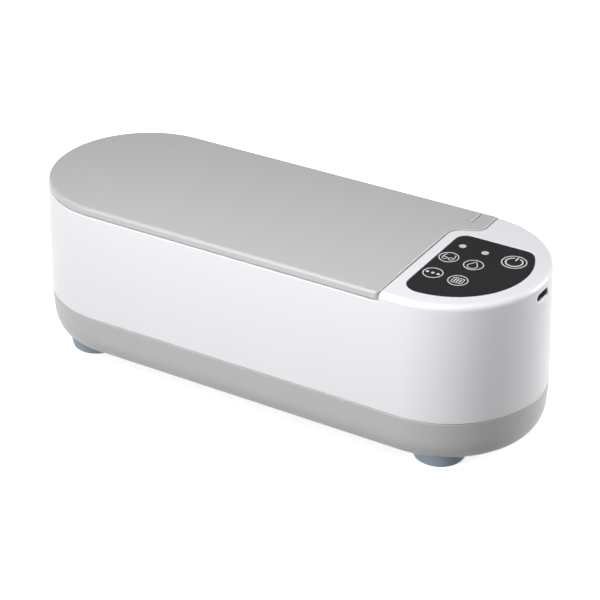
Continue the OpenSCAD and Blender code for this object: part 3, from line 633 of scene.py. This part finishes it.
def make_housing():
    """Side wall, rim and control deck in one shell, open below and over the tank."""
    foot_r = 0.5
    top_r = side_at(DECK_Z) - DECK_EDGE_R
    section = [(0, SPLIT_Z), (HALF_W - foot_r, SPLIT_Z),
               *arc((HALF_W - foot_r, SPLIT_Z + foot_r), foot_r, -90, 0, 4)[1:],
               (side_at(SPLIT_Z + 12), SPLIT_Z + 12), (side_at(RIM_Z - 8), RIM_Z - 8),
               *arc((top_r, DECK_Z - DECK_EDGE_R), DECK_EDGE_R, 0, 90, 12), (top_r / 2, DECK_Z), (0, DECK_Z)]
    body = sweep_track("white_housing", section)
    carve(body, lid_area(0, RIM_Z, RIM_Z + 20))
    # hollow below the ledge
    roof_z = LEDGE_Z - LEDGE_T
    carve(body, sweep_track("hollow", [(0, SPLIT_Z - 1), (HALF_W - WALL, SPLIT_Z - 1),
                                       (side_at(roof_z) - WALL, roof_z), (0, roof_z)]))
    # well that the lid drops into
    well_r = side_at(RIM_Z) - WALL
    well = sweep_track("well", [(0, LEDGE_Z), (well_r, LEDGE_Z), (well_r, RIM_Z + 3), (0, RIM_Z + 3)])
    carve(body, carve(well, lid_area(0, 0, 100), "INTERSECT"))
    # space under the deck
    under_r = side_at(DECK_Z) - WALL - UNDER_ROOM
    under_z0, under_z1 = LEDGE_Z - LEDGE_T - 4, DECK_Z - DECK_T
    under = sweep_track("under", [(0, under_z0), (under_r, under_z0), (under_r, under_z1), (0, under_z1)])
    carve(body, carve(under, deck_area(-SEAM_WALL, 0, 100), "INTERSECT"))
    # mouth over the tank
    carve(body, sweep_track("mouth", [(0, LEDGE_Z - PAST), (TANK_R, LEDGE_Z - PAST), (TANK_R, LEDGE_Z + 1),
                                      (0, LEDGE_Z + 1)], *TANK_X, turn_steps=48))
    carve(body, prism("recess", panel_outline(0), DECK_Z - PANEL_T, DECK_Z + 1))
    for light in LIGHTS:
        carve(body, rod_z("light_hole", LIGHT_R + LIGHT_ROOM, DECK_Z - PAST, DECK_Z, (light.x, light.y)))
    port = middle_of("usb_socket")
    port_x = node_box("usb_socket")[1].x
    carve(body, slot_tool("port_slot", PORT_W, PORT_H, port_x - PORT_REACH, port_x + PORT_REACH,
                          port.y, port.z))

    def on_rim(mid, a, b):
        flat = max(a.z, b.z) > LEVEL
        return flat and abs(mid.z - RIM_Z) < NEAR and min(a.z, b.z) < 0.5

    def on_seam(mid, a, b):
        upright = min(abs(a.z), abs(b.z)) < NEAR
        return upright and mid.z > RIM_Z + 0.05 and seam_distance(mid.x, mid.y, 0) < 0.02

    def on_port(mid, a, b):
        by_port = abs(mid.y) < PORT_W / 2 + 0.2 and abs(mid.z - port.z) < PORT_H / 2 + 0.2
        return mid.x > port_x + 0.2 and by_port

    def on_recess(mid, a, b):
        on_deck = abs(mid.z - DECK_Z) < NEAR and max(a.z, b.z) > LEVEL
        return on_deck and mid.x > PANEL_X - 0.1 and seam_distance(mid.x, mid.y, 0) > 0.5

    round_edges(body, on_seam, SEAM_EDGE)
    round_edges(body, on_rim, SEAM_EDGE)
    round_edges(body, on_recess, RECESS_EDGE, 2)
    round_edges(body, on_port, PORT_EDGE)
    for at in HINGE_AT:
        for x0, x1 in housing_knuckles(at):
            carve(body, rod_x("knuckle", KNUCKLE_R, x0, x1, at.y, at.z, edge=KNUCKLE_EDGE), "UNION")
            carve(body, slab("web", (x0 + 0.2, side_at(RIM_Z) - WALL + 0.2, RIM_Z - 1.5),
                             (x1 - 0.2, side_at(RIM_Z) - 0.1, at.z)), "UNION")
        carve(body, rod_x("knuckle_room", KNUCKLE_R + KNUCKLE_ROOM, at.x - LID_KNUCKLE_L / 2 - KNUCKLE_GAP,
                          at.x + LID_KNUCKLE_L / 2 + KNUCKLE_GAP, at.y, at.z))
        carve(body, rod_x("pin_hole", PIN_R, at.x - PIN_HALF_L, at.x + PIN_HALF_L, at.y, at.z))
    return finish_piece(body, "body", "white_plastic", "housing")


# ---------- grey base and feet ----------

BASE_Z = node_box("base_shell")[0].z
FLOOR_Z = BASE_Z + WALL
FEET = ["foot_front_left", "foot_front_right", "foot_rear_left", "foot_rear_right"]
FOOT_POCKET = 1
SCREW_R = 2.75
SCREW_SINK_R = 3.1
SCREW_SINK_Z = 10
SCREW_HOLE_R = 1.65
POST_R = 4.4
POST_Z = 17
MIDDLE_POST_X = -4.45


def make_base():
    """Tub with a rounded lower edge, a lip that locates the housing, foot pockets and screw posts."""
    lip_r = HALF_W - WALL - SHELL_GAP
    side_z = SPLIT_Z - 7.2
    side_x = HALF_W - 0.35
    round_x, round_z = 4.3, side_z - BASE_Z
    curve = [(side_x - round_x + round_x * cos_d(a), side_z + round_z * sin_d(a))
             for a in (-90 * i / 16 for i in range(17))]
    inner_x, inner_z = round_x - WALL / 2, round_z - WALL
    inner = [(side_x - round_x + inner_x * cos_d(a) - WALL / 2, side_z + inner_z * sin_d(a))
             for a in (-90 * i / 10 for i in range(11))]
    edge = 0.4
    section = [(0, BASE_Z), *reversed(curve), *arc((HALF_W - edge, SPLIT_Z - edge), edge, 0, 90, 4),
               (lip_r, SPLIT_Z - 0.02), *arc((lip_r - 0.3, SPLIT_Z + LIP_H - 0.3), 0.3, 0, 90, 2),
               (lip_r - 1.2, SPLIT_Z + LIP_H), (lip_r - 1.2, SPLIT_Z - 3), *inner, (0, FLOOR_Z)]
    tub = sweep_track("grey_base", section)
    for name in FEET:
        low, high = node_box(name)
        at = (low + high) / 2
        r = (high.x - low.x) / 2 + SHELL_GAP
        carve(tub, rod_z("pocket", r, BASE_Z - 1, BASE_Z + FOOT_POCKET, (at.x, at.y), 64))
    low, high = node_box("base_screws")
    sink = [(0, BASE_Z - 1), (SCREW_SINK_R, BASE_Z - 1), (SCREW_SINK_R, SCREW_SINK_Z),
            (SCREW_HOLE_R, SCREW_SINK_Z), (SCREW_HOLE_R, POST_Z + 1), (0, POST_Z + 1)]
    for x in (low.x + SCREW_R, MIDDLE_POST_X, high.x - SCREW_R):
        for y in (low.y + SCREW_R, high.y - SCREW_R):
            carve(tub, rod_z("post", POST_R, BASE_Z + 0.5, POST_Z, (x, y)), "UNION")
            carve(tub, revolve("sink", sink, (x, y), 48))

    def on_underside(mid, a, b):
        return abs(mid.z - BASE_Z) < NEAR and min(a.z, b.z) < -LEVEL and max(a.z, b.z) > -0.2

    round_edges(tub, on_underside, 0.25, 2)
    return finish_piece(tub, "body", "grey_plastic", "base_shell")


def make_feet():
    """Four turned silicone feet, each with a flared ring and a stem."""
    for name in FEET:
        low, high = node_box(name)
        at = (low + high) / 2
        top_r = (high.x - low.x) / 2
        low_r = top_r - 0.8
        stem_top = high.z
        section = [(0, 0.5), (4.2, 0.5), (4.9, 0.35), (5.4, 0.05), (5.7, 0),
                   *arc((low_r - 0.9, 0.9), 0.9, -90, 0, 8),
                   (low_r + 0.25, 2.4), (low_r + 0.5, 3.8), (top_r - 0.05, BASE_Z + FOOT_POCKET - 0.2),
                   (top_r - 0.2, BASE_Z + FOOT_POCKET), (3, BASE_Z + FOOT_POCKET), (3, stem_top - 0.3),
                   (2.7, stem_top), (0, stem_top)]
        foot = revolve("silicone_" + name, section, (at.x, at.y), 96)
        finish_piece(foot, "body", "foot_silicone", name)


# ---------- lid ----------

LID_LOW_Z = RIM_Z + 0.35
LID_SIDE_R = side_at(RIM_Z) - 0.25
LID_EDGE_R = 1.2
LID_FLAT_R = LID_SIDE_R - 0.1 - LID_EDGE_R
LID_CROWN = 0.45
LID_UNDER_Z = DECK_Z - 1.8
SKIRT_T = 2
LID_CORNER_R = 1.8
LID_SEAM_EDGE = 0.3
LID_PIN_R = 1.05
RIB_FROM_SEAM = (2, 3.4)
RIB_FROM_EDGE = (7.6, 0.4)
RIB_H = 0.35
GROOVE_W = 0.5
GROOVE_T = 0.45
TOOL_TOP = 100  # above the whole object


def make_lid():
    """Low crowned shell with a skirt, its tab, its knuckles and a grip rib."""
    edge = 0.3
    skirt_r = LID_SIDE_R - SKIRT_T
    crown = [(LID_FLAT_R * u, DECK_Z + LID_CROWN * (1 - u * u)) for u in (1 - i / 12 for i in range(1, 13))]
    section = [(0, LID_UNDER_Z), (skirt_r, LID_UNDER_Z), (skirt_r, LID_LOW_Z), (LID_SIDE_R - edge, LID_LOW_Z),
               *arc((LID_SIDE_R - edge, LID_LOW_Z + edge), edge, -90, 0, 3)[1:],
               *arc((LID_FLAT_R, DECK_Z - LID_EDGE_R), LID_EDGE_R, 0, 90, 10), *crown]
    lid = sweep_track("grey_lid", section, side_steps=16)
    carve(lid, lid_area(SEAM_GAP, LID_LOW_Z - PAST, DECK_Z + PAST), "INTERSECT")
    # skirt along the seam
    brace = carve(lid_area(SEAM_GAP + 0.02, LID_LOW_Z + 0.05, LID_UNDER_Z + 0.6),
                  lid_area(SEAM_GAP + SKIRT_T, LID_LOW_Z - PAST, LID_UNDER_Z + PAST))
    inner_r = skirt_r + 0.3
    inner = sweep_track("inner", [(0, 0), (inner_r, 0), (inner_r, TOOL_TOP), (0, TOOL_TOP)])
    carve(lid, carve(brace, inner, "INTERSECT"), "UNION")

    # round corner in plan where the front side meets the deck
    corner = (SEAM_X - SEAM_GAP - LID_CORNER_R, -LID_SIDE_R + LID_CORNER_R)
    carve(lid, prism("corner", [*arc(corner, LID_CORNER_R, -90, 0, 12), (corner[0] + 4, corner[1]),
                                (corner[0] + 4, corner[1] - 4), (corner[0], corner[1] - 4)], 0, TOOL_TOP))

    def on_seam(mid, a, b):
        upright = min(abs(a.z), abs(b.z)) < NEAR
        off_corner = abs(math.hypot(mid.x - corner[0], mid.y - corner[1]) - LID_CORNER_R)
        by_corner = mid.x > corner[0] and mid.y < corner[1] and off_corner < 0.03
        by_seam = by_corner or seam_distance(mid.x, mid.y, SEAM_GAP) < 0.015
        return upright and mid.z > LID_LOW_Z + 0.1 and by_seam

    round_edges(lid, on_seam, LID_SEAM_EDGE)
    for at in HINGE_AT:
        for x0, x1 in housing_knuckles(at, KNUCKLE_GAP):
            carve(lid, rod_x("room", KNUCKLE_R + KNUCKLE_ROOM, x0, x1, at.y, at.z))
        half = LID_KNUCKLE_L / 2
        carve(lid, rod_x("knuckle", KNUCKLE_R, at.x - half, at.x + half, at.y, at.z, edge=KNUCKLE_EDGE),
              "UNION")
        carve(lid, rod_x("pin_hole", LID_PIN_R, at.x - half - 3, at.x + half + 3, at.y, at.z))
    rib_low, rib_high = [(SEAM_X + x, LID_FLAT_R - y) for x, y in zip(RIB_FROM_SEAM, RIB_FROM_EDGE)]
    rib = slab("rib", (*rib_low, DECK_Z - 0.5), (*rib_high, DECK_Z + RIB_H))
    round_edges(rib, lambda mid, a, b: mid.z > DECK_Z - 0.4, 0.2)
    carve(lid, rib, "UNION")
    # fine groove along the rib and round its front end
    groove_y = rib_low[1] - GROOVE_W
    for low, high in (((rib_high[0], groove_y), (rib_high[0] + GROOVE_W, rib_high[1])),
                      ((rib_low[0] - 1, groove_y), (rib_high[0] + 0.1, rib_low[1]))):
        carve(lid, slab("groove", (*low, DECK_Z - GROOVE_T), (*high, DECK_Z + 1)))
    return finish_piece(lid, "lid", "lid_plastic", "lid_cover")


# ---------- black panel and its prints ----------


def make_panel():
    """Black panel let into the deck, with its upper edge rounded and two light holes."""
    panel = prism("black_panel", panel_outline(PANEL_GAP, 64), DECK_Z - PANEL_T, PANEL_Z)
    round_edges(panel, lambda mid, a, b: abs(mid.z - PANEL_Z) < NEAR, 0.22)
    for light in LIGHTS:
        carve(panel, rod_z("light_hole", LIGHT_R, DECK_Z - PAST, DECK_Z + 1, (light.x, light.y)))
    return finish_piece(panel, "body", "panel_black", "control_panel")


PRINT_T = 0.06


def stroke(bm, at, points, w, closed=False):
    """A printed line of width w through points, as a thin flat bar with round ends."""
    n = len(points)
    left, right = [], []
    for i, (x, y) in enumerate(points):
        a = points[(i - 1) % n] if closed or i else points[i]
        b = points[(i + 1) % n] if closed or i < n - 1 else points[i]
        d = Vector((b[0] - a[0], b[1] - a[1])).normalized()
        left.append((x - d.y * w / 2, y + d.x * w / 2))
        right.append((x + d.y * w / 2, y - d.x * w / 2))
    if closed:
        (l0, r0), (l1, r1) = ([[bm.verts.new((at[0] + x, at[1] + y, PANEL_Z + z)) for x, y in rim]
                               for rim in (left, right)] for z in (0, PRINT_T))
        for i in range(n):
            j = (i + 1) % n
            for quad in ((l1[i], r1[i], r1[j], l1[j]), (l0[i], l0[j], r0[j], r0[i]),
                         (l0[i], l1[i], l1[j], l0[j]), (r0[i], r0[j], r1[j], r1[i])):
                bm.faces.new(quad)
        return
    start = math.degrees(math.atan2(left[0][1] - points[0][1], left[0][0] - points[0][0]))
    stop = math.degrees(math.atan2(right[-1][1] - points[-1][1], right[-1][0] - points[-1][0]))
    outline = [*arc(points[0], w / 2, start + 180, start, 8), *left[1:-1],
               *arc(points[-1], w / 2, stop + 180, stop, 8), *right[-2:0:-1]]
    blob(bm, at, outline)


def blob(bm, at, outline):
    """A printed area inside an outline."""
    low, high = ([bm.verts.new((at[0] + x, at[1] + y, PANEL_Z + z)) for x, y in outline]
                 for z in (0, PRINT_T))
    bm.faces.new(high)
    bm.faces.new(low[::-1])
    for i in range(len(low)):
        j = (i + 1) % len(low)
        bm.faces.new((low[i], low[j], high[j], high[i]))


def ring(bm, at, d, w, centre=(0, 0)):
    stroke(bm, at, arc(centre, (d - w) / 2, 0, 360, 48)[:-1], w, closed=True)


KEY_X = (PANEL_X + 4.5, PANEL_X + 14.5)
BACK_KEY_Y = (-0.9, -1.6)
FRONT_KEY_Y = (-13.7, -14.2)
KEY_D = 7.3
POWER_D = 9.2
POWER_A = 19.3
POWER_MARGIN = 1.5
LINE_W = 0.3


def make_prints():
    """Key rings with a pair of glasses, a drop, three dots and a strap, and the power sign."""
    bm = bmesh.new()
    glasses, drop_key = zip(KEY_X, BACK_KEY_Y)
    dots, strap = (KEY_X[0] + 0.5, FRONT_KEY_Y[0]), (KEY_X[1] + 0.4, FRONT_KEY_Y[1])
    power_r = PANEL_R - POWER_D / 2 - POWER_MARGIN
    power = (END_X + power_r * cos_d(POWER_A), power_r * sin_d(POWER_A))
    for at in (glasses, drop_key, dots, strap):
        ring(bm, at, KEY_D, 0.35)
    ring(bm, power, POWER_D, 0.4)
    for side in (-1, 1):
        ring(bm, glasses, 2, LINE_W, (side * 1.25, -0.9))
        hook = arc((side * 1.5, 1.4), 0.5, 0 if side > 0 else 180, 90, 5)
        stroke(bm, glasses, [(side * 2.2, -0.6), (side * 2.05, 0.9), *hook], LINE_W)
    stroke(bm, glasses, [(-0.3, -0.8), (0, -0.7), (0.3, -0.8)], LINE_W)
    tear = [*arc((0, -0.9), 1.8, -215, 35, 24), (0.65, 1.4), (0, 2.5), (-0.65, 1.4)]
    stroke(bm, drop_key, tear, 0.32, closed=True)
    for x in (-2.1, 0, 2.1):
        blob(bm, dots, arc((x, 0), 0.6, 0, 360, 24)[:-1])
    frame_line = [*arc((1.6, 1.3), 0.4, 0, 90, 4), *arc((-1.6, 1.3), 0.4, 90, 180, 4),
                  *arc((-1.6, -1.3), 0.4, 180, 270, 4), *arc((1.6, -1.3), 0.4, 270, 360, 4)]
    stroke(bm, strap, frame_line, LINE_W, closed=True)
    for x in (-1, 0, 1):
        stroke(bm, strap, [(x, -0.9), (x, 0.9)], 0.45)
    stroke(bm, power, arc((0, 0), 3, 113, 427, 40), 0.55)
    stroke(bm, power, [(0, 1.4), (0, 3.5)], 0.55)
    return finish_piece(new_piece("key_prints", bm), "body", "icon_print", "panel_icons")


# ---------- steel tank ----------

TANK_T = 0.8
TANK_LEAN = 1  # how much narrower the tank is at its floor
TANK_BEND_R = 8
BEAD_DROP = 7
LIP_R = 0.7


def make_tank():
    """Pressed tank with rounded floor edges, a bead round its wall and a flat flange."""
    t, bend, lip = TANK_T, TANK_BEND_R, LIP_R
    low_z = tank_low.z
    flange_z = tank_high.z - t
    low_r = TANK_R + t - TANK_LEAN

    def wall_line(g):
        """From the middle of the floor up to the flange, moved inwards by g."""
        side = arc((low_r - bend, low_z + bend), bend - g, -90, 0, 20)
        top = (TANK_R + t - g, flange_z)

        def on_side(z):
            share = (z - side[-1][1]) / (top[1] - side[-1][1])
            return side[-1][0] + (top[0] - side[-1][0]) * share

        bead_z = flange_z - BEAD_DROP
        bead = [(on_side(bead_z + dz) + out, bead_z + dz) for dz, out in
                ((-1, 0), (-0.6, 0.12), (-0.25, 0.3), (0, 0.35), (0.25, 0.3), (0.6, 0.12), (1, 0))]
        return [(0, low_z + g), (low_r - bend - 8, low_z + g), *side, *bead]

    outer, inner = wall_line(0), wall_line(t)
    outer += [(TANK_R + t, flange_z)]
    rim = [(TANK_FLANGE_R - 0.1, flange_z), (TANK_FLANGE_R, flange_z + 0.1),
           (TANK_FLANGE_R, flange_z + t - 0.1), (TANK_FLANGE_R - 0.1, flange_z + t)]
    lip_z = flange_z + t - lip
    inner += [(TANK_R - 0.05, lip_z - 0.3),
              *[(TANK_R + lip - lip * cos_d(a), lip_z + lip * sin_d(a)) for a in (0, 22, 45, 67, 90)]]
    tank = sweep_track("steel_tank", [*outer, *rim, *reversed(inner)], *TANK_X)
    return finish_piece(tank, "body", "tank_steel", "tank")


make_camera()
make_room()
make_base()
make_feet()
make_housing()
make_tank()
make_panel()
make_prints()
make_lid()
